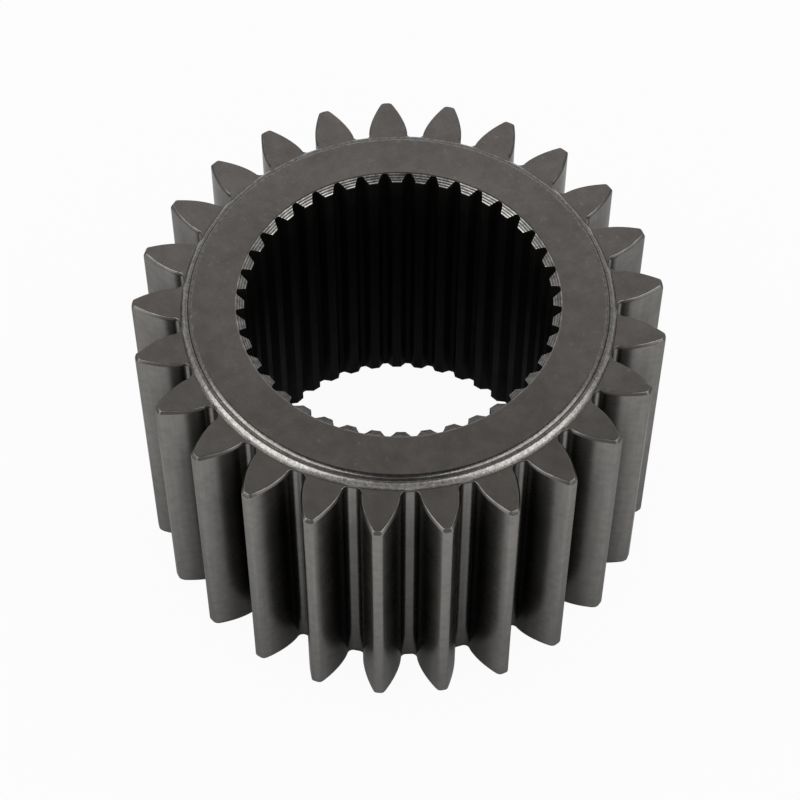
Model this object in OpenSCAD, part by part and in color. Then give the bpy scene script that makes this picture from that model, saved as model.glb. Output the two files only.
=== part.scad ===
// Sun gear of a planetary hub drive: one steel ring with spur teeth outside and a splined bore.
// The axis is Z and the lower hub land lies on Z = 0, so the gear stands on it.

/* [Outer teeth] */
// Number of outer teeth
teeth = 25; // [23:1:36]
// Module of the outer teeth: pitch diameter for each tooth
gear_module = 5; // [4.75:0.05:6]
// Pressure angle of the outer teeth, in degrees
pressure_angle = 22.5; // [20:0.5:25]
// Tooth height above the pitch circle, in modules
addendum_factor = 1.25; // [1:0.01:1.3]
// Depth of the space below the pitch circle, in modules
dedendum_factor = 1.27; // [1.15:0.01:1.35]
// Profile shift in modules: how far the cutter was drawn out, which makes each tooth thicker
profile_shift = 0.16; // [0:0.02:0.3]
// How much thinner each tooth is cut, for backlash
tooth_thinning = 0.1; // [0:0.05:0.4]
// Radius at the foot of each flank
root_fillet = 1.6; // [0.6:0.1:1.9]
// Length of the chamfer on each tooth tip, along the axis
tip_chamfer_length = 1.5; // [0.5:0.1:4]
// Depth of the chamfer on each tooth tip, towards the axis
tip_chamfer_depth = 0.55; // [0.2:0.05:1.2]

/* [Hub] */
// Overall length, from one hub land to the other
overall_length = 88; // [40:0.5:140]
// How far each hub land stands above the tooth ends
land_height = 2.3; // [1.6:0.1:5]
// Gap between the tooth roots and the foot of the shoulder
shoulder_inset = 0.15; // [0.05:0.05:1]
// Width of the bevel that rises from the tooth ends
bevel_width = 1.35; // [0.8:0.05:2]
// Width of the hollow turned between the bevel and the land's edge
relief_width = 0.85; // [0.7:0.05:1.2]
// Rise of the hollow from the bevel to the land's edge
relief_rise = 0.35; // [0.3:0.05:0.7]
// Depth of the hollow below the straight line across it
relief_depth = 0.22; // [0.1:0.02:0.24]
// Width of the land's broken edge
edge_width = 0.9; // [0.4:0.05:1.2]
// Drop of the land's broken edge
edge_drop = 0.4; // [0.1:0.05:0.5]

/* [Splined bore] */
// Number of spline teeth in the bore
spline_teeth = 40; // [36:1:44]
// Module of the spline
spline_module = 2; // [1.9:0.05:2.1]
// Pressure angle of the spline, in degrees
spline_angle = 30; // [28:0.5:32]
// How far the spline teeth reach inside the pitch circle
spline_reach = 0.5; // [0.3:0.05:0.8]
// Depth of the spline spaces outside the pitch circle
spline_depth = 1.7; // [1.3:0.05:1.9]
// How much wider than half the pitch a space is
spline_play = 0.15; // [0:0.05:0.3]
// Radius in the corners of each space
spline_fillet = 0.45; // [0.2:0.05:0.55]
// Depth of the lead-in chamfer at each end of the bore
lead_in_depth = 1.3; // [0.8:0.05:3]
// How far the lead-in opens past the spline roots
lead_in_margin = 0.2; // [0.05:0.05:0.5]

/* [Hidden] */
$fn = 96;
steel = [0.33, 0.31, 0.29];
// Straight steps along one flank, and in one fillet or hollow
flank_steps = 8;
fillet_steps = 4;
spline_steps = 3;
// How far a cut runs on past the face that it opens
cut_past = 1;
// How far a flank or a cone runs on past the circle that trims it
trim_past = 0.2;
// The most of half a tooth space that one root fillet may take up
fillet_share = 0.95;

// Outer teeth, all from the module and the tooth count
pitch_r = gear_module * teeth / 2;
base_r = pitch_r * cos(pressure_angle);
tip_r = pitch_r + addendum_factor * gear_module;
root_r = pitch_r - dedendum_factor * gear_module;

// The teeth end a land's height inside each end of the hub
teeth_low = land_height;
teeth_high = overall_length - land_height;

// The shoulder is set out inwards from the tooth roots
shoulder_r = root_r - shoulder_inset;
relief_r = shoulder_r - bevel_width;
edge_r = relief_r - relief_width;
land_r = edge_r - edge_width;

// Spline circles
spline_pitch_r = spline_module * spline_teeth / 2;
spline_base_r = spline_pitch_r * cos(spline_angle);
spline_tip_r = spline_pitch_r - spline_reach;
spline_root_r = spline_pitch_r + spline_depth;
lead_in_r = spline_root_r + lead_in_margin;

// The involute function, in degrees
function involute(angle) = tan(angle) * 180 / PI - angle;

// Angle between the radius and an involute of base circle base, where it crosses radius r
function involute_slope(base, r) = acos(min(1, base / r));

// Half the angle that a tooth fills at radius r, when it is width wide on the pitch circle
function half_angle(r, base, pitch, slope, width) =
    width / (2 * pitch) * 180 / PI + involute(slope) - involute(involute_slope(base, r));

function polar(r, angle) = [r * cos(angle), r * sin(angle)];
function turned(points, angle) =
    [for (p = points) [p.x * cos(angle) - p.y * sin(angle), p.x * sin(angle) + p.y * cos(angle)]];
function flipped(points) = [for (i = [len(points) - 1 : -1 : 0]) [points[i].x, -points[i].y]];

// One side of an outer tooth, from the root circle to just past the tip, where the blank trims it
tooth_width = gear_module * (PI / 2 + 2 * profile_shift * tan(pressure_angle)) - tooth_thinning;
function tooth_half(r) = half_angle(r, base_r, pitch_r, pressure_angle, tooth_width);
space_limit = fillet_share * root_r * sin(180 / teeth - tooth_half(max(base_r, root_r)));
fillet = min(root_fillet, space_limit);
fillet_centre_r = root_r + fillet;
fillet_turn = asin(fillet / fillet_centre_r);
flank_foot_r = max(base_r, fillet_centre_r * cos(fillet_turn));
fillet_angle = tooth_half(flank_foot_r) + fillet_turn;
foot_roll = tan(involute_slope(base_r, flank_foot_r));
tip_roll = tan(involute_slope(base_r, tip_r + trim_past));
function flank_r(i) = base_r * sqrt(1 + pow(foot_roll + (tip_roll - foot_roll) * i / flank_steps, 2));
tooth_side = concat(
    [for (i = [0 : fillet_steps])
        polar(fillet_centre_r, fillet_angle)
        + polar(fillet, fillet_angle + 180 + (90 - fillet_turn) * i / fillet_steps)],
    [for (i = [0 : flank_steps]) polar(flank_r(i), tooth_half(flank_r(i)))]);
tooth_outline = concat([for (p = tooth_side) [p.x, -p.y]], flipped([for (p = tooth_side) [p.x, -p.y]]));
gear_outline = [for (i = [0 : teeth - 1]) each turned(tooth_outline, 360 / teeth * i)];

// One space of the spline, from just inside the spline tips out to its root and back
space_width = PI * spline_module / 2 + spline_play;
function space_half(r) = half_angle(r, spline_base_r, spline_pitch_r, spline_angle, space_width);
corner_r = spline_root_r - spline_fillet;
corner_slope = involute_slope(spline_base_r, corner_r);
corner_centre = [corner_r, corner_r * sin(space_half(corner_r)) - spline_fillet / cos(corner_slope)];
space_foot_r = spline_tip_r - trim_past;
space_foot = polar(space_foot_r, space_half(space_foot_r));
space_top_r = corner_r + spline_fillet * sin(corner_slope);
function space_r(i) = space_foot_r + (space_top_r - space_foot_r) * i / spline_steps;
space_side = concat(
    [[space_foot.x - cut_past, space_foot.y]],
    [for (i = [0 : spline_steps - 1]) polar(space_r(i), space_half(space_r(i)))],
    [for (i = [0 : fillet_steps])
        corner_centre + spline_fillet * [
            sin(corner_slope + (90 - corner_slope) * i / fillet_steps),
            cos(corner_slope + (90 - corner_slope) * i / fillet_steps)]]);
space_outline = concat([for (p = space_side) [p.x, -p.y]], flipped([for (p = space_side) [p.x, -p.y]]));
// Angle from the outer tooth on +X to the first spline space, as in the photograph
spline_turn = 4.2;
spline_outline = [for (i = [0 : spline_teeth - 1])
    each turned(space_outline, spline_turn + 360 / spline_teeth * i)];

// The hollow between two points of the shoulder: a shallow arc that dips by depth
function hollow(from, to, depth) = let (
    chord = norm(to - from),
    along = (to - from) / chord,
    inward = [-along.y, along.x],
    r = (chord * chord / 4 + depth * depth) / (2 * depth),
    centre = (from + to) / 2 - inward * (r - depth),
    sweep = asin(chord / 2 / r))
    [for (i = [0 : 2 * fillet_steps])
        let (a = sweep * (i / fillet_steps - 1)) centre + r * (along * sin(a) + inward * cos(a))];

// Half of the hub's turned section, from the tooth ends at height 0 up to the land
shoulder = concat(
    [[shoulder_r, -cut_past], [shoulder_r, 0]],
    hollow([relief_r, land_height - edge_drop - relief_rise], [edge_r, land_height - edge_drop],
           relief_depth),
    [[land_r, land_height]]);

// The spur teeth between their end faces, with the tips chamfered by the turned blank
module spur_teeth() {
    intersection() {
        linear_extrude(height = overall_length)
            polygon(gear_outline);
        rotate_extrude()
            polygon([
                [0, teeth_low],
                [tip_r - tip_chamfer_depth, teeth_low],
                [tip_r, teeth_low + tip_chamfer_length],
                [tip_r, teeth_high - tip_chamfer_length],
                [tip_r - tip_chamfer_depth, teeth_high],
                [0, teeth_high]]);
    }
}

// The hub that stands out past the teeth at both ends, with its stepped shoulders
module hub() {
    rotate_extrude()
        polygon(concat(
            [[0, 0]],
            [for (i = [len(shoulder) - 1 : -1 : 0]) [shoulder[i].x, teeth_low - shoulder[i].y]],
            [for (p = shoulder) [p.x, teeth_high + p.y]],
            [[0, overall_length]]));
}

// Everything that is cut away inside: the bore, the spline spaces and the two lead-ins
module splined_bore() {
    translate([0, 0, -cut_past])
        cylinder(h = overall_length + 2 * cut_past, r = spline_tip_r);
    translate([0, 0, -cut_past])
        linear_extrude(height = overall_length + 2 * cut_past)
            polygon(spline_outline);
    lead_in();
    translate([0, 0, overall_length])
        mirror([0, 0, 1])
            lead_in();
}

// The cone at one end of the bore, which bevels the spline teeth down to their tips
module lead_in() {
    spread = (lead_in_r - spline_tip_r) / lead_in_depth;
    translate([0, 0, -cut_past])
        cylinder(
            h = cut_past + lead_in_depth + trim_past,
            r1 = lead_in_r + spread * cut_past,
            r2 = spline_tip_r - spread * trim_past);
}

module sun_gear() {
    color(steel)
        difference() {
            union() {
                spur_teeth();
                hub();
            }
            splined_bore();
        }
}

sun_gear();
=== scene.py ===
# %% [markdown]
# # A sun gear, dressed for its picture
#
# The part is the sun gear of a planetary hub drive: a wide steel ring with spur teeth
# outside, a splined bore for the axle shaft, and a low turned land at each end.
# The CAD model holds the solid. This script lays a finer skin over it, with the broken
# edges and finishes that a plain CAD model leaves out, and sets up the picture.
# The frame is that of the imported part: +Z is the bore axis and the lower land lies on
# Z = 0. The sizes of the gear and what aims the camera are in millimetres and are turned
# into metres at the end. The table and the lamps are in metres.

import math

import bpy
import numpy as np
from mathutils import Matrix


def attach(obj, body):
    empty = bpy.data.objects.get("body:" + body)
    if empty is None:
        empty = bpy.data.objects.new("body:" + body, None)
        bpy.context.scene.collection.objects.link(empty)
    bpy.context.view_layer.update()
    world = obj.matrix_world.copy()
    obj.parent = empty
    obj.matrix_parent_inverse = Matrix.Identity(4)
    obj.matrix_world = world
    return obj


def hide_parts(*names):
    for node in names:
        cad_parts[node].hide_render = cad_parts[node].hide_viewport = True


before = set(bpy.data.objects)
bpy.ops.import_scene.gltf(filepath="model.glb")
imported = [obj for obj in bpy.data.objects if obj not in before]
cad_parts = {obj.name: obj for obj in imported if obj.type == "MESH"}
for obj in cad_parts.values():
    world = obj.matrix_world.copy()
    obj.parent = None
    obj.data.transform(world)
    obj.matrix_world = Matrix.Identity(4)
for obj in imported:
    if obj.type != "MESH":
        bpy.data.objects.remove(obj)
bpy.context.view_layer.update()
print("CAD nodes:", sorted(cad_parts))

# %% [markdown]
# ## The gear's sizes
#
# A gear is set out from very few numbers. The module times the tooth count gives the
# pitch circle, where the teeth of two gears roll on each other. The pressure angle
# gives the base circle, and the flanks are the curve that a taut string draws as it
# unwinds from that circle. The teeth and the spline of the CAD solid were made from the
# same numbers. Skin and solid differ in the broken and soft edges, in a slight bulge of
# the bevel, and in corners of the shoulder that lie up to 0.1 mm apart.

# %% Sizes in millimetres
MM = 0.001
TEETH, MODULE, PRESSURE = 25, 5.0, math.radians(22.5)
ADDENDUM, DEDENDUM, PROFILE_SHIFT = 1.25, 1.27, 0.16
THINNING, ROOT_FILLET, TIP_CORNER = 0.1, 1.6, 0.45
PITCH_R = MODULE * TEETH / 2
BASE_R = PITCH_R * math.cos(PRESSURE)
TIP_R, ROOT_R = PITCH_R + ADDENDUM * MODULE, PITCH_R - DEDENDUM * MODULE
TOOTH_WIDTH = MODULE * (math.pi / 2 + 2 * PROFILE_SHIFT * math.tan(PRESSURE)) - THINNING
print("tip circle %.2f mm, root circle %.2f mm, base circle %.2f mm" % (TIP_R, ROOT_R, BASE_R))

# %% Sizes of the spline
SPLINES, SPLINE_MODULE, SPLINE_ANGLE = 40, 2.0, math.radians(30)
SPLINE_REACH, SPLINE_DEPTH, SPLINE_PLAY = 0.5, 1.7, 0.15
SPLINE_FILLET, SPLINE_CORNER = 0.45, 0.12
SPLINE_TURN = math.radians(4.2)
SPLINE_PITCH_R = SPLINE_MODULE * SPLINES / 2
SPLINE_BASE_R = SPLINE_PITCH_R * math.cos(SPLINE_ANGLE)
SPLINE_TIP_R, SPLINE_ROOT_R = SPLINE_PITCH_R - SPLINE_REACH, SPLINE_PITCH_R + SPLINE_DEPTH
SPACE_WIDTH = math.pi * SPLINE_MODULE / 2 + SPLINE_PLAY
print("spline: %.2f mm at the tips, %.2f mm at the roots" % (SPLINE_TIP_R, SPLINE_ROOT_R))

# %% Sizes along the axis and of the turned shoulder
LENGTH, LAND_HEIGHT = 88.0, 2.3
TEETH_TOP = LENGTH - LAND_HEIGHT
TIP_CHAMFER_LENGTH, TIP_CHAMFER_DEPTH = 1.5, 0.55
SHOULDER_R, CREST_R, EDGE_R, LAND_R = 56.0, 54.75, 53.8, 52.95
CREST_Z, EDGE_Z = TEETH_TOP + 1.55, LENGTH - 0.38
BEVEL_BULGE, HOLLOW_DEPTH = 0.17, 0.22
LEAD_IN_R, LEAD_IN_DEPTH = SPLINE_ROOT_R + 0.2, 1.3
print("teeth end at %.1f mm, the land lies at %.1f mm" % (TEETH_TOP, LENGTH))

# %% [markdown]
# ## The two outlines
#
# The outer outline runs round all 25 teeth, the inner one round all 40 spline spaces.
# Each is drawn for half a tooth or half a space and mirrored, with the same number of
# points for every tooth. 1600 points is a whole number for both: 64 for each tooth and
# 40 for each space. So one grid can join them, all the way round.
#
# A parallel curve of an involute is the same involute turned a little about the axis.
# That is why `back`, the distance that an edge is broken back, is just an angle here.

# %% Curves that both outlines use
COLUMNS = 1600


def half_angle(r, base, pitch, pressure, width):
    """Half the angle that a tooth fills at radius r.

    It is half the width over the pitch radius, plus the involute function of the
    pressure angle, minus that of the slope at r. The involute function of an angle is
    its tangent minus the angle."""
    slope = np.arccos(np.minimum(1, base / r))
    return width / (2 * pitch) + math.tan(pressure) - pressure - (np.tan(slope) - slope)


def polar(r, angle):
    """Points at radius r and an angle from +X."""
    return np.stack(np.broadcast_arrays(r * np.cos(angle), r * np.sin(angle)), -1)


def rounded(before, corner, after, steps):
    """A soft corner: the parabola that leaves one side and joins the other. The weights of
    the three points are the square of 1 - t, twice t times 1 - t, and the square of t."""
    t = np.linspace(0, 1, steps + 1)[:, None]
    return (1 - t) ** 2 * before + 2 * t * (1 - t) * corner + t**2 * after


def all_round(half, count, start, first):
    """Mirrors half a tooth, copies it count times from the angle start, and numbers the
    points from the one called first, which lies nearest to +X."""
    one = np.concatenate([half * [1, -1], half[-2:0:-1]])
    turn = start + 2 * math.pi * np.arange(count)[:, None] / count
    x = one[:, 0] * np.cos(turn) - one[:, 1] * np.sin(turn)
    y = one[:, 0] * np.sin(turn) + one[:, 1] * np.cos(turn)
    return np.roll(np.stack([x, y], -1).reshape(-1, 2), -first, axis=0)


pitch_half = half_angle(PITCH_R, BASE_R, PITCH_R, PRESSURE, TOOTH_WIDTH)
print("a tooth fills %.2f degrees of its pitch circle" % math.degrees(2 * pitch_half))

# %% The outer teeth
CORNER_LIMIT = 0.9


def tooth_outline(tip_r=TIP_R, back=0.0, root_back=0.0, corner=TIP_CORNER, widen=0.0):
    """The outline round all teeth, with the flanks set back inside the true ones, and a
    share widen more at the tips, growing with the square of the height up the flank.

    Half a tooth has 33 points: 4 on the root circle, 8 round the root fillet, 15 up the
    involute flank, 3 round a soft corner and 3 on the tip circle. Radii on the flank
    come from even steps of roll angle: base radius times the root of 1 plus the roll
    angle squared. The corner takes up at most a share of half the tip."""

    def tooth_half(r):
        up = np.clip((r - BASE_R) / (TIP_R - BASE_R), 0, 1)
        full = half_angle(r, BASE_R, PITCH_R, PRESSURE, TOOTH_WIDTH)
        return full - back * (1 + widen * up**2) / BASE_R

    root_r, fillet = ROOT_R - root_back, ROOT_FILLET + back
    centre_r = root_r + fillet
    turn = math.asin(fillet / centre_r)
    foot_r = max(BASE_R, centre_r * math.cos(turn))
    fillet_at = tooth_half(foot_r) + turn
    root = polar(root_r, np.linspace(math.pi / TEETH, fillet_at, 5)[:-1])
    arc = polar(centre_r, fillet_at) + polar(
        fillet, fillet_at + math.pi + (math.pi / 2 - turn) * np.linspace(0, 1, 8))
    tip_at = tooth_half(tip_r)
    corner = min(corner, CORNER_LIMIT * tip_at * tip_r)
    end_r = tip_r - corner * BASE_R / tip_r
    rolls = np.linspace(*(np.tan(np.arccos(BASE_R / np.array([foot_r, end_r])))), 15)
    flank_r = BASE_R * np.sqrt(1 + rolls**2)
    flank = polar(flank_r, tooth_half(flank_r))
    soft = rounded(flank[-1], polar(tip_r, tip_at), polar(tip_r, tip_at - corner / tip_r), 3)
    land = polar(tip_r, np.linspace(tip_at - corner / tip_r, 0, 4)[1:])
    half = np.concatenate([root, arc, flank, soft[1:], land])
    return all_round(half, TEETH, 0.0, len(half) - 1)


outline = tooth_outline()
print("tooth outline:", outline.shape, "radius %.2f to %.2f mm" % (
    np.hypot(*outline.T).min(), np.hypot(*outline.T).max()))

# %% The splined bore
CORNER_REACH = 0.9


def spline_outline(grow=0.0, root_grow=0.0, corner=SPLINE_CORNER):
    """The outline round all spline spaces, each grown by grow and its root by root_grow.

    Half a space has 21 points: 4 on the spline tips, 3 round a soft corner that reaches
    most of its width up the flank, 6 on the involute flank, 5 round the fillet in the
    corner of the space and 3 on half of its flat root."""

    def space_half(r):
        return (half_angle(r, SPLINE_BASE_R, SPLINE_PITCH_R, SPLINE_ANGLE, SPACE_WIDTH)
                + grow / SPLINE_BASE_R)

    tip_r, root_r = SPLINE_TIP_R + grow, SPLINE_ROOT_R + root_grow
    fillet = SPLINE_FILLET + root_grow
    foot_at = space_half(tip_r)
    tip = polar(tip_r, np.linspace(math.pi / SPLINES, foot_at + corner / tip_r, 5)[:-1])
    start_r, corner_r = tip_r + corner * CORNER_REACH, root_r - fillet
    slope = math.acos(SPLINE_BASE_R / corner_r)
    centre_y = corner_r * math.sin(space_half(corner_r)) - fillet / math.cos(slope)
    soft = rounded(polar(tip_r, foot_at + corner / tip_r), polar(tip_r, foot_at),
                   polar(start_r, space_half(start_r)), 2)
    flank_r = np.linspace(start_r, corner_r + fillet * math.sin(slope), 8)[1:-1]
    bend = slope + (math.pi / 2 - slope) * np.linspace(0, 1, 5)
    arc = np.stack([corner_r + fillet * np.sin(bend), centre_y + fillet * np.cos(bend)], -1)
    root = np.stack([np.full(3, root_r), centre_y * np.array([2, 1, 0]) / 3], -1)
    half = np.concatenate([tip, soft, polar(flank_r, space_half(flank_r)), arc, root])
    return all_round(half, SPLINES, SPLINE_TURN, 1)


bore = spline_outline()
print("spline outline:", bore.shape, "radius %.2f to %.2f mm" % (
    np.hypot(*bore.T).min(), np.hypot(*bore.T).max()))

# %% [markdown]
# ## The turned shoulder
#
# Both ends of the hub are turned on a lathe. From the tooth ends a bevel rises to a
# crest, then comes a narrow hollow, then the broken edge of the land.
# The bevel bulges a little and the hollow is an arc, so both shade from light to dark as
# they do in the photograph. Two points close to a corner make it a soft one, and a guard
# point a little further in keeps the land flat to the light.


# %% Radius and height of the shoulder, from the foot of the bevel to the lead-in
def bowed(start, end, depth, steps):
    """A shallow arc between two points that dips into the metal by depth, or bulges out
    where depth is negative, without its end points.

    Its radius is a quarter of the chord squared plus the depth squared, over twice the
    depth, and it turns about a centre on the far side of the chord."""
    start, end = np.array(start), np.array(end)
    chord = np.linalg.norm(end - start)
    along = (end - start) / chord
    inward = np.array([-along[1], along[0]])
    r = (chord**2 / 4 + depth**2) / (2 * depth)
    sweep = math.asin(chord / 2 / r) * np.linspace(-1, 1, steps + 1)[1:-1, None]
    centre = (start + end) / 2 - inward * (r - depth)
    return centre + r * (along * np.sin(sweep) + inward * np.cos(sweep))


SOFT, GUARD = 0.12, 0.22
CHAMFER_R = LEAD_IN_R - 0.1
shoulder = np.concatenate([
    [[SHOULDER_R, TEETH_TOP]],
    bowed([SHOULDER_R, TEETH_TOP], [CREST_R, CREST_Z], -BEVEL_BULGE, 5),
    [[CREST_R + 0.02, CREST_Z - 0.03], [CREST_R - 0.04, CREST_Z - 0.01]],
    bowed([CREST_R, CREST_Z], [EDGE_R, EDGE_Z], HOLLOW_DEPTH, 4),
    [[EDGE_R + 0.01, EDGE_Z - 0.05], [EDGE_R - 0.08, EDGE_Z + 0.02]],
    [[LAND_R + 0.08, LENGTH - 0.025], [LAND_R - SOFT, LENGTH], [LAND_R - GUARD, LENGTH]],
    [[LEAD_IN_R + GUARD, LENGTH], [LEAD_IN_R + SOFT, LENGTH], [CHAMFER_R, LENGTH - 0.055]]])
print("shoulder profile:", len(shoulder), "points, rising", round(LENGTH - shoulder[0, 1], 2), "mm")

# %% [markdown]
# ## One closed grid
#
# Each row of the grid is a ring of 1600 points. The rows start on the tooth flanks, turn
# over the broken edge of the tooth ends, climb the shoulder, cross the land, slide down
# the lead-in chamfer and enter the bore. The lower end repeats them upside down, with
# rounder tooth ends, and the last row joins the first one, so the skin is closed like
# the solid below it.
#
# Cutting the teeth with booleans and softening them with a Bevel modifier would make the
# same forms, but would leave long thin faces that shade badly. In a grid every face has
# four sides, and a row lies just where the light should change.

# %% How the edge round a tooth end is broken
FLANK, BREAK, END, BEVEL, HOLLOW, EDGE, LEAD_IN, BORE = range(8)
# How far below the tooth ends the painted shade on the flanks fades out, in millimetres
SHADE_FADE = 22.0
# Each row: how far back from the flank and up from the tooth end it lies, the finish of
# the strip that follows it, and how worn it is.
TOP_BREAK = [
    (0.0, -SHADE_FADE, FLANK, 0.0), (0.0, -TIP_CHAMFER_LENGTH, FLANK, 0.0),
    (0.0, -1.05, FLANK, 0.0), (0.0, -0.76, BREAK, 0.0), (0.04, -0.68, BREAK, 0.0),
    (0.4, -0.13, BREAK, 0.0), (0.46, -0.05, BREAK, 1.0), (0.52, -0.01, BREAK, 1.0),
    (0.58, 0.0, END, 0.0), (0.68, 0.0, END, 0.0)]
BOTTOM_BREAK = [
    (0.0, -1.8, FLANK, 0.0), (0.0, -1.35, BREAK, 0.0), (0.03, -1.0, BREAK, 0.0),
    (0.1, -0.6, BREAK, 0.0), (0.24, -0.27, BREAK, 0.3), (0.42, -0.08, BREAK, 0.6),
    (0.6, 0.0, END, 0.0), (0.7, 0.0, END, 0.0)]
print("broken edge:", len(TOP_BREAK), "rows at the top,", len(BOTTOM_BREAK), "at the bottom")


# %% The rows over the tooth ends
def tip_at_height(z):
    """Tip radius at a height: it falls evenly by the chamfer's depth over its length."""
    return TIP_R - TIP_CHAMFER_DEPTH * max(0.0, (z - TEETH_TOP + TIP_CHAMFER_LENGTH) / TIP_CHAMFER_LENGTH)


def ring(xy, z):
    """A row of points from a plane outline and a height."""
    return np.column_stack([xy, np.broadcast_to(z, len(xy))])


def tooth_rows(profile, tip_share, root_share, rounding, widen):
    """Rows that turn over the broken edge round a tooth end.

    The shares say how much of the step back the tips and the roots take, rounding how
    much the tip corners soften along the tapered end and widen how much more the edge
    is broken at the tips."""
    made = []
    for back, up, kind, worn in profile:
        z = TEETH_TOP + up
        corner = TIP_CORNER + rounding * max(0.0, 1 + up / TIP_CHAMFER_LENGTH)
        edge = tooth_outline(tip_at_height(z) - tip_share * back, back, root_share * back, corner, widen)
        made.append((ring(edge, z), kind, worn))
    return made


top_teeth = tooth_rows(TOP_BREAK, tip_share=0.5, root_share=0.2, rounding=0.0, widen=0.3)
bottom_teeth = tooth_rows(BOTTOM_BREAK, tip_share=0.9, root_share=0.3, rounding=0.95, widen=0.7)
print("rows over the tooth ends:", len(top_teeth), "and", len(bottom_teeth))

# %% The rows over the shoulder and down into the bore
GUARD_SHARES = (0.12, 0.86)
BORE_EDGE, BORE_ROOT_EDGE, BORE_EDGE_DROP = 0.1, 0.04, 0.14
turns = 2 * math.pi * np.arange(COLUMNS) / COLUMNS


def shoulder_rows():
    """Rows up the turned shoulder and over the land, round circles. The outer half of
    the hollow has the bevel's finish, and the lead-in chamfer is worn at its edge."""
    made = []
    for r, z in shoulder:
        if r > (CREST_R + EDGE_R) / 2:
            kind = BEVEL
        elif r > EDGE_R + 0.02:
            kind = HOLLOW
        elif r > LAND_R:
            kind = EDGE
        else:
            kind = END if r > LEAD_IN_R else LEAD_IN
        made.append((ring(polar(r, turns), z), kind, float(kind == LEAD_IN)))
    return made


def cone_height(xy):
    """Height of the lead-in chamfer above a point: it falls evenly from the land."""
    return LENGTH - LEAD_IN_DEPTH * (LEAD_IN_R - np.hypot(*xy.T)) / (LEAD_IN_R - SPLINE_TIP_R)


def bore_rows():
    """Rows down the lead-in chamfer and over its edge into the bore.

    The first two lie on the chamfer at a share of the way from its upper edge, and keep
    it flat between its two soft edges."""
    upper_edge, lower_edge = polar(CHAMFER_R, turns), spline_outline(BORE_EDGE, BORE_ROOT_EDGE)
    inner = [upper_edge + share * (lower_edge - upper_edge) for share in GUARD_SHARES]
    return [(ring(xy, cone_height(xy)), LEAD_IN, 0.0) for xy in inner] + [
        (ring(lower_edge, cone_height(lower_edge)), BORE, 1.0),
        (ring(bore, cone_height(bore) - BORE_EDGE_DROP), BORE, 0.0)]


upper = top_teeth + shoulder_rows() + bore_rows()
lower = bottom_teeth + shoulder_rows() + bore_rows()
print(len(upper) + len(lower), "rows from the flanks over both ends and through the bore")

# %% Join both ends into one grid
points = np.array([row for row, _, _ in upper]
                  + [row * [1, 1, -1] + [0, 0, LENGTH] for row, _, _ in lower[::-1]]) * MM
ring_count = len(points)
i, j = np.meshgrid(np.arange(ring_count), np.arange(COLUMNS), indexing="ij")
above, beside = (i + 1) % ring_count, (j + 1) % COLUMNS
quads = np.stack([i * COLUMNS + j, i * COLUMNS + beside,
                  above * COLUMNS + beside, above * COLUMNS + j], -1).reshape(-1, 4)
print("grid:", points.shape[:2], "points,", len(quads), "four-sided faces")

# %% [markdown]
# ## What the mesh tells the materials
#
# Each strip between two rows has one finish, but the upper part of each chamfered tooth
# tip looks like the broken edge. Two attributes mark the points: `wear` rises to 1 along
# edges that are rubbed bright, and the other one is painted shade that dims the flanks
# down in the tooth spaces, where little light gets in. Near the top its factor fades
# back to 1, because light reaches the roots there.

# %% Finish, wear and painted shade
TIP_STRIP, ON_CIRCLE = 2, 0.01
# Painted shade on the flanks: a factor by radius that is darkest deep in the tooth spaces
DEPTH_RADII = [56.2, 56.8, 57.6, 60.0, 64.0, 66.5, 68.2]
DEPTH_SHADES = [0.6, 0.5, 0.33, 0.33, 0.5, 0.85, 1.0]
strip_finish = np.array([kind for _, kind, _ in upper]
                        + [kind for _, kind, _ in lower[-2::-1]] + [FLANK])
face_finish = np.repeat(strip_finish, COLUMNS).reshape(-1, COLUMNS)
on_tip = np.hypot(*outline.T) > TIP_R - ON_CIRCLE
face_finish[TIP_STRIP, on_tip & np.roll(on_tip, -1)] = BREAK
point_wear = np.repeat([worn for _, _, worn in upper + lower[::-1]], COLUMNS)
radii, heights = np.hypot(points[..., 0], points[..., 1]) / MM, points[..., 2] / MM
# Painted shade: darkest deep in the tooth spaces, fading out towards the upper tooth ends
deep_painted_shade = np.interp(radii, DEPTH_RADII, DEPTH_SHADES)
near_top = np.clip(1 - (TEETH_TOP - heights) / SHADE_FADE, 0, 1)
point_painted_shade = deep_painted_shade + (1 - deep_painted_shade) * near_top
print("tone from %.2f to %.2f" % (point_painted_shade.min(), point_painted_shade.max()))

# %% Make the mesh object
SHARP_ANGLE = math.radians(38)


def grid_object(name, points, quads):
    """A mesh object from whole arrays of points and four-sided faces."""
    mesh = bpy.data.meshes.new(name)
    mesh.vertices.add(len(points))
    mesh.vertices.foreach_set("co", points.astype(np.float32).ravel())
    mesh.loops.add(quads.size)
    mesh.loops.foreach_set("vertex_index", quads.astype(np.int32).ravel())
    mesh.polygons.add(len(quads))
    mesh.polygons.foreach_set("loop_start", np.arange(0, quads.size, 4, dtype=np.int32))
    mesh.update(calc_edges=True)
    mesh.validate()
    made = bpy.data.objects.new(name, mesh)
    bpy.context.scene.collection.objects.link(made)
    return made


skin = grid_object("gear_skin", points.reshape(-1, 3), quads)
skin.data.polygons.foreach_set("material_index", face_finish.ravel().astype(np.int32))
for label, values in (("wear", point_wear), ("painted_shade", point_painted_shade)):
    attribute = skin.data.attributes.new(label, "FLOAT", "POINT")
    attribute.data.foreach_set("value", values.ravel().astype(np.float32))
skin.data.shade_smooth()
skin.data.set_sharp_from_angle(angle=SHARP_ANGLE)
print("gear_skin:", len(quads), "four-sided faces,", 2 * len(quads), "triangles")
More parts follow.
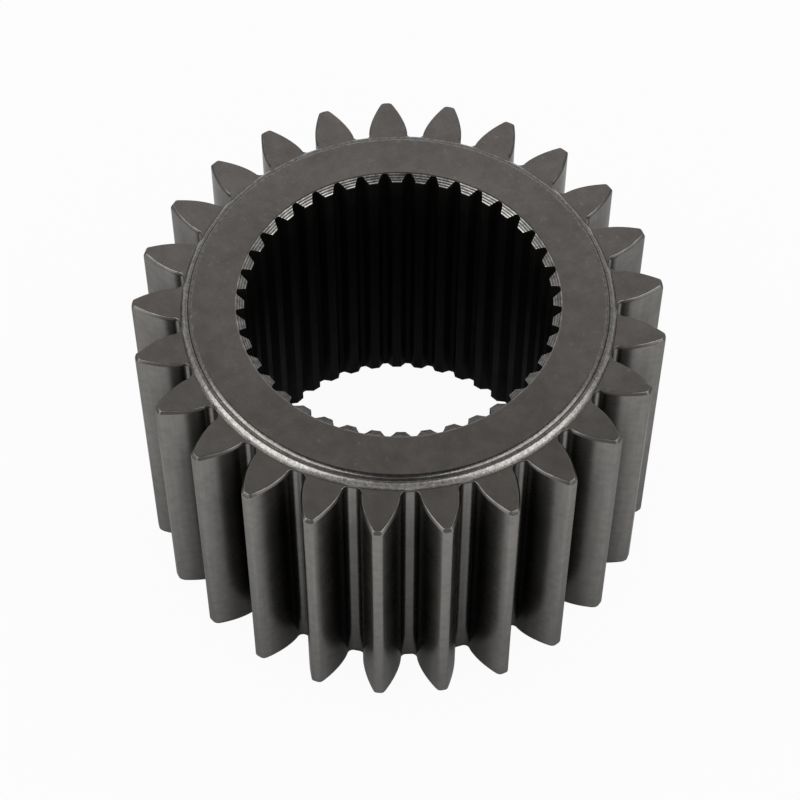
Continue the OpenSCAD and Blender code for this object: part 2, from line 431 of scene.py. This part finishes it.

# %% [markdown]
# ## Finishes
#
# The whole gear is one dark grey, satin steel. What changes is how each surface was
# made. The land and tooth ends are ground and handled, so they are even with faint
# clouds and a few pale nicks. The flanks have faint streaks along the tooth. The bevels
# and the land's edge are turned and blasted, so they glitter, and the hollow between
# them is painted dark, as painted shade. The lead-in chamfers keep the rings of the
# lathe tool. The bore is broached, oiled and darker than the rest, and painted shade
# makes it nearly black.
#
# The marks could be painted as textures. Noise on the object's own coordinates needs no
# unwrapping, stays sharp close up and runs over every edge without a seam.


# %% A small helper for node trees
class Tree:
    """Adds nodes to a material or world and links their inputs by name or number."""

    def __init__(self, owner):
        owner.use_nodes = True
        self.nodes, self.links = owner.node_tree.nodes, owner.node_tree.links
        self.nodes.clear()

    def add(self, kind, inputs=None, **settings):
        """A new node, with its settings, and its inputs set or linked."""
        node = self.nodes.new("ShaderNode" + kind)
        for key, value in settings.items():
            setattr(node, key, value)
        for key, value in (inputs or {}).items():
            if isinstance(value, bpy.types.NodeSocket):
                self.links.new(value, node.inputs[key])
            else:
                node.inputs[key].default_value = value
        return node

    def math(self, operation, *values):
        """One step of arithmetic."""
        return self.add("Math", dict(enumerate(values)), operation=operation).outputs[0]

    def noise(self, where, scale, detail=2.0, stretch=(1, 1, 1)):
        """A noise with scale features to the metre, drawn out where stretch is small."""
        at = self.add("Mapping", {"Vector": where, "Scale": stretch}).outputs[0]
        return self.add("TexNoise", {"Vector": at, "Scale": scale, "Detail": detail}).outputs["Fac"]

    def spread(self, value, low, high, start=0.3, end=0.7):
        """Maps a value from start..end to low..high, in a straight line, and no further."""
        return self.add("MapRange", {"Value": value, "From Min": start, "From Max": end,
                                     "To Min": low, "To Max": high}).outputs[0]

    def tint(self, colour, factor):
        """A fixed colour made lighter or darker by a factor."""
        return self.add("VectorMath", {0: colour, 3: factor}, operation="SCALE").outputs[0]


print("node helper ready")

# %% One steel, many finishes
BUMP_DEPTH = 0.0001


def steel(name, colour, factors, roughness, bump=None, worn=0.0, with_painted_shade=False, rim=1.0):
    """A steel finish. factors and roughness are functions of the tree and the place on
    the object that give a brightness factor and a roughness. bump is such a function
    with a strength. worn lightens the edges that the mesh marks as worn, a switch adds
    the mesh's painted shade to the flanks, and rim dims what is seen at a grazing angle."""
    material = bpy.data.materials.new(name)
    tree = Tree(material)
    where = tree.add("TexCoord").outputs["Object"]
    factor = factors(tree, where)
    if worn:
        mark = tree.add("Attribute", attribute_name="wear").outputs["Fac"]
        uneven = tree.spread(tree.noise(where, 350, 3), 0.3 * worn, 1.7 * worn, 0.35, 0.65)
        factor = tree.math("MULTIPLY_ADD", mark, uneven, factor)
    # Painted shade from the mesh darkens the flanks deep in the tooth spaces
    if with_painted_shade:
        painted_shade = tree.add("Attribute", attribute_name="painted_shade").outputs["Fac"]
        factor = tree.math("MULTIPLY", factor, painted_shade)
    surface = tree.add("BsdfPrincipled", {
        "Base Color": tree.tint(colour, factor), "Metallic": 1.0,
        "Specular Tint": (rim, rim, rim, 1), "Roughness": roughness(tree, where)})
    if bump:
        height, strength = bump
        relief = tree.add("Bump", {
            "Height": height(tree, where), "Strength": strength, "Distance": BUMP_DEPTH})
        tree.links.new(relief.outputs[0], surface.inputs["Normal"])
    tree.add("OutputMaterial", {"Surface": surface.outputs[0]})
    return material


def even(value, spread=0.04):
    """A roughness that wanders a little about one value."""
    return lambda tree, where: tree.spread(tree.noise(where, 120, 3), value - spread, value + spread)


print("bump depth: %.2f mm" % (BUMP_DEPTH / MM))

# %% Patterns of brightness
RING_PITCH = 0.62 * MM


def clouds(tree, where):
    """Broad clouds, smaller ones, a fine grain and a few pale nicks, multiplied together."""
    broad = tree.spread(tree.noise(where, 45, 3), 0.9, 1.1)
    small = tree.spread(tree.noise(where, 260, 4), 0.9, 1.1)
    grain = tree.spread(tree.noise(where, 1700, 2), 0.93, 1.07)
    nicks = tree.spread(tree.noise(where, 620, 2), 1.0, 1.3, 0.64, 0.76)
    cloudy, marked = tree.math("MULTIPLY", broad, small), tree.math("MULTIPLY", grain, nicks)
    return tree.math("MULTIPLY", cloudy, marked)


def streaks(tree, where):
    """Faint streaks along the axis times a noise with a few darker spots."""
    along = tree.spread(tree.noise(where, 900, 3, (1, 1, 0.04)), 0.94, 1.06)
    spots = tree.spread(tree.noise(where, 420, 4), 0.9, 1.05, 0.3, 0.6)
    return tree.math("MULTIPLY", along, spots)


def grains(tree, where):
    """A coarse glitter: two sizes of grain, multiplied together."""
    coarse = tree.spread(tree.noise(where, 900, 3), 0.75, 1.25)
    fine = tree.spread(tree.noise(where, 2600, 2), 0.7, 1.3)
    return tree.math("MULTIPLY", coarse, fine)


def tool_rings(tree, where):
    """The rings of a lathe tool: a sine of the distance from the axis over the ring pitch,
    times a noise that breaks the rings up."""
    parts = tree.add("SeparateXYZ", {0: where}).outputs
    flat = tree.add("CombineXYZ", {"X": parts["X"], "Y": parts["Y"]}).outputs[0]
    radius = tree.add("VectorMath", {0: flat}, operation="LENGTH").outputs["Value"]
    rings = tree.math("SINE", tree.math("MULTIPLY", radius, 2 * math.pi / RING_PITCH))
    return tree.math("MULTIPLY", tree.spread(rings, 0.55, 1.6, -1.0, 1.0),
                     tree.spread(tree.noise(where, 700, 3), 0.6, 1.4))


print("patterns:", [pattern.__name__ for pattern in (clouds, streaks, grains, tool_rings)])

# %% The eight finishes
finishes = {
    # The flanks carry painted shade deep in the tooth spaces
    FLANK: steel("flank_steel", (0.190, 0.185, 0.176), streaks, even(0.27, 0.02), with_painted_shade=True, rim=0.52),
    BREAK: steel("broken_edge_steel", (0.075, 0.072, 0.068), streaks, even(0.30), worn=1.0, rim=0.6),
    END: steel("ground_steel", (0.143, 0.133, 0.124), clouds, even(0.25, 0.02)),
    BEVEL: steel("turned_steel", (0.185, 0.177, 0.168), grains, even(0.25), bump=(grains, 0.2)),
    # The hollow's very dark colour is painted shade
    HOLLOW: steel("hollow_painted_shade_steel", (0.030, 0.029, 0.028), grains, even(0.30), bump=(grains, 0.2)),
    EDGE: steel("land_edge_steel", (0.128, 0.122, 0.115), grains, even(0.19), bump=(grains, 0.15)),
    LEAD_IN: steel("ringed_steel", (0.130, 0.125, 0.119), tool_rings, even(0.28),
                   bump=(tool_rings, 0.3), worn=0.8),
    # The bore's near-black is partly its own darker finish, partly painted shade
    BORE: steel("broached_steel_painted_shade", (0.014, 0.0135, 0.0125), streaks, even(0.45)),
}
for number in sorted(finishes):
    skin.data.materials.append(finishes[number])
print("finishes:", [m.name for m in skin.data.materials])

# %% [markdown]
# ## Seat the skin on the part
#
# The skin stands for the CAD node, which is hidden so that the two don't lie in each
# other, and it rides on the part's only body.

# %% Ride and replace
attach(skin, "root")
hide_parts("sun_gear")
print("gear_skin stands for sun_gear")

# %% [markdown]
# ## The table
#
# The gear stands on a white table, which lies a hair below the lower land so that the two
# never share a plane. To the camera it is nearly as bright as pure white paper, and keeps
# a faint shadow. In reflections it is plain paint close to the gear and white further
# out, a painted shadow round the gear. From below it is clear, so that the underside can
# be looked at.

# %% The white table
TABLE_HALF, TABLE_Z = 8, -0.02 * MM
WHITE_GLOW, NEAR_GLOW, NEAR, FAR = 0.95, 0.05, 0.048, 0.1
table_mesh = bpy.data.meshes.new("table")
corners = [(x * TABLE_HALF, y * TABLE_HALF, TABLE_Z) for x, y in ((-1, -1), (1, -1), (1, 1), (-1, 1))]
table_mesh.from_pydata(corners, [], [(0, 1, 2, 3)])
table = bpy.data.objects.new("table", table_mesh)
bpy.context.scene.collection.objects.link(table)
white = bpy.data.materials.new("white_table")
tree = Tree(white)
rays = tree.add("LightPath").outputs
mirrored = tree.math("MAXIMUM", rays["Is Glossy Ray"], rays["Is Transmission Ray"])
place = tree.add("TexCoord").outputs["Object"]
distance = tree.add("VectorMath", {0: place}, operation="LENGTH").outputs["Value"]
# In reflections the table glows less close to the gear: a painted shadow round it
glow_with_painted_shadow = tree.spread(distance, NEAR_GLOW, WHITE_GLOW, NEAR, FAR)
share = tree.math("MULTIPLY_ADD", rays["Is Camera Ray"], WHITE_GLOW, tree.math("MULTIPLY", mirrored, glow_with_painted_shadow))
paint = tree.add("BsdfDiffuse", {"Color": (0.82, 0.82, 0.82, 1)})
glow = tree.add("Emission", {"Color": (1, 1, 1, 1), "Strength": 1.0})
mixed = tree.add("MixShader", {0: share, 1: paint.outputs[0], 2: glow.outputs[0]})
back = tree.add("NewGeometry").outputs["Backfacing"]
clear = tree.add("BsdfTransparent", {"Color": (1, 1, 1, 1)})
one_sided = tree.add("MixShader", {0: back, 1: mixed.outputs[0], 2: clear.outputs[0]})
tree.add("OutputMaterial", {"Surface": one_sided.outputs[0]})
table_mesh.materials.append(white)
print("table: white, keeps a faint shadow")

# %% [markdown]
# ## Light
#
# Two large soft boxes stand 38 degrees up on the gear's left and right, a little in
# front, which is what makes the bevels bright at the lower left and lower right. They are
# seen in the steel but don't brighten the table. The room is white at the horizon, dimmer
# 27 degrees up, white again at 44 degrees and dark overhead. The flat land mirrors what
# lies 56 degrees up, where the room is getting dark, so it stays dark grey. A picture of a
# real studio could light the gear too, but a ramp and two lamps are easier to move.

# %% Room light
ROOM_STOPS = [(0.0, 1.0), (0.3, 0.9), (0.45, 0.62), (0.7, 1.0),
              (0.77, 0.92), (0.83, 0.46), (0.88, 0.2), (1.0, 0.12)]


def room():
    """A room whose brightness follows the stops: the sine of the height above the
    horizon, and how bright the room is there."""
    world = bpy.data.worlds.new("room")
    bpy.context.scene.world = world
    tree = Tree(world)
    up = tree.add("SeparateXYZ", {0: tree.add("TexCoord").outputs["Generated"]}).outputs["Z"]
    ramp = tree.add("ValToRGB", {0: up})
    while len(ramp.color_ramp.elements) < len(ROOM_STOPS):
        ramp.color_ramp.elements.new(0.5)
    for element, (at, level) in zip(ramp.color_ramp.elements, ROOM_STOPS):
        element.position = at
        element.color = (level, level, level, 1)
    shade = tree.add("Background", {"Color": ramp.outputs[0], "Strength": 1.0})
    tree.add("OutputWorld", {"Surface": shade.outputs[0]})


room()
print("room: brightness", ROOM_STOPS[0][1], "at the horizon,", ROOM_STOPS[-1][1], "overhead")

# %% Soft boxes
# The photograph looks from this far round the gear, counted from -Y
PHOTO_TURN = math.radians(7.79)
BOX_ELEVATION, BOX_DISTANCE, BOX_WIDTH, BOX_HEIGHT = 38, 1.2, 1.1, 1.33


def soft_box(name, azimuth, brightness):
    """A rectangular lamp that faces the gear, at an azimuth in degrees. Its power is
    brightness times pi times its area, so that brightness 1 looks as bright as a white
    card."""
    lamp = bpy.data.lights.new(name, "AREA")
    lamp.shape, lamp.size, lamp.size_y = "RECTANGLE", BOX_WIDTH, BOX_HEIGHT
    lamp.energy = brightness * math.pi * BOX_WIDTH * BOX_HEIGHT
    made = bpy.data.objects.new(name, lamp)
    a, e = math.radians(azimuth) + PHOTO_TURN, math.radians(BOX_ELEVATION)
    towards = (math.cos(e) * math.cos(a), math.cos(e) * math.sin(a), math.sin(e))
    made.location = [BOX_DISTANCE * v for v in towards]
    made.rotation_euler = (math.pi / 2 - e, 0, a + math.pi / 2)
    made.visible_camera = made.visible_diffuse = False
    bpy.context.scene.collection.objects.link(made)
    return made


boxes = [soft_box("left_box", azimuth=205, brightness=3.1),
         soft_box("right_box", azimuth=332, brightness=2.5)]
print("soft boxes:", [box.name for box in boxes])

# %% [markdown]
# ## Camera
#
# The camera was found by matching 25 tooth tips, the shoulder circles and the bottom
# outline to the photograph. It looks down at 56 degrees through a long lens, so the far
# side is only a little smaller.

# %% Camera
TILT, ROLL = math.radians(55.885), math.radians(-0.202)
# From the camera to the gear's axis, level with the upper end of the full tip circle:
# right, up and ahead before the roll, in millimetres
AIM = np.array([-0.45, 23.57, 672.87])
FOCAL_PIXELS, IMAGE_PIXELS, SENSOR_WIDTH = 2617.6, 800, 36
SHIFT_PIXELS = (-0.24, 0.53)
right = np.array([1.0, 0.0, 0.0])
ahead = np.array([0.0, math.cos(TILT), -math.sin(TILT)])
upward = np.cross(right, ahead)
stand = -AIM @ np.array([right, upward, ahead]) + [0, 0, TEETH_TOP - TIP_CHAMFER_LENGTH]
axes = np.array([math.cos(ROLL) * right - math.sin(ROLL) * upward,
                 math.sin(ROLL) * right + math.cos(ROLL) * upward, -ahead])
turn = np.array([[math.cos(PHOTO_TURN), -math.sin(PHOTO_TURN), 0],
                 [math.sin(PHOTO_TURN), math.cos(PHOTO_TURN), 0], [0, 0, 1]])
matrix = np.eye(4)
matrix[:3, :3] = turn @ axes.T
matrix[:3, 3] = turn @ stand * MM
camera = bpy.data.objects.new("camera", bpy.data.cameras.new("camera"))
camera.matrix_world = Matrix(matrix.tolist())
camera.data.lens = FOCAL_PIXELS * SENSOR_WIDTH / IMAGE_PIXELS
camera.data.shift_x, camera.data.shift_y = [pixels / IMAGE_PIXELS for pixels in SHIFT_PIXELS]
camera.data.clip_start, camera.data.clip_end = 0.05, 40
bpy.context.scene.collection.objects.link(camera)
bpy.context.scene.camera = camera
bpy.context.scene.view_settings.view_transform = "Standard"
print("camera at", [round(float(v), 3) for v in matrix[:3, 3]], "m, lens %.1f mm" % camera.data.lens)
